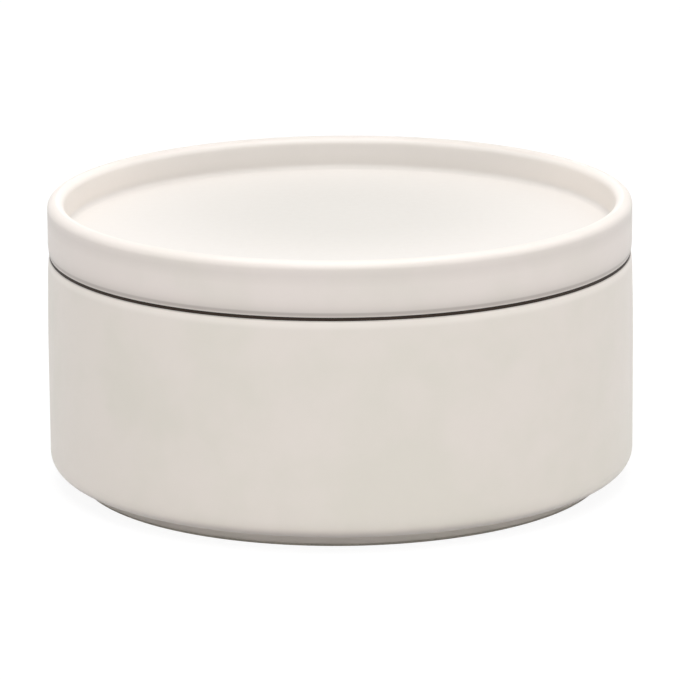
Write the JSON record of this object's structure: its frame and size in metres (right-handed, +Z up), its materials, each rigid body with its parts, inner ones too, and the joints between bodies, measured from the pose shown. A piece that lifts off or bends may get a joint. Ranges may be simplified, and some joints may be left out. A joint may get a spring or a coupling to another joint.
{
  "type": "storage jar",
  "caption": "Low round glazed ceramic jar on a foot ring, with a lift-off lid whose top is a shallow tray and a soft seal ring on its collar.",
  "frame": {"origin": "centre of the foot ring's face, on the table", "axes": "+Z up along the jar's axis of turning; X and Y are any two directions square to it, because the jar is round"},
  "size_m": [0.155, 0.155, 0.076],
  "materials": {
    "jar_glaze": "satin, warm off-white glaze",
    "lid_glaze": "satin, warm off-white glaze",
    "seal_silicone": "matte dark silicone"
  },
  "bodies": {
    "jar": {"jar_body": "jar_glaze"},
    "lid": {"lid": "lid_glaze", "seal_ring": "seal_silicone"}
  },
  "joints": [
    {"name": "lid_lift", "type": "slide", "parent": "jar", "child": "lid", "axis": [0, 0, 1], "range_m": [0, 0.12]}
  ]
}
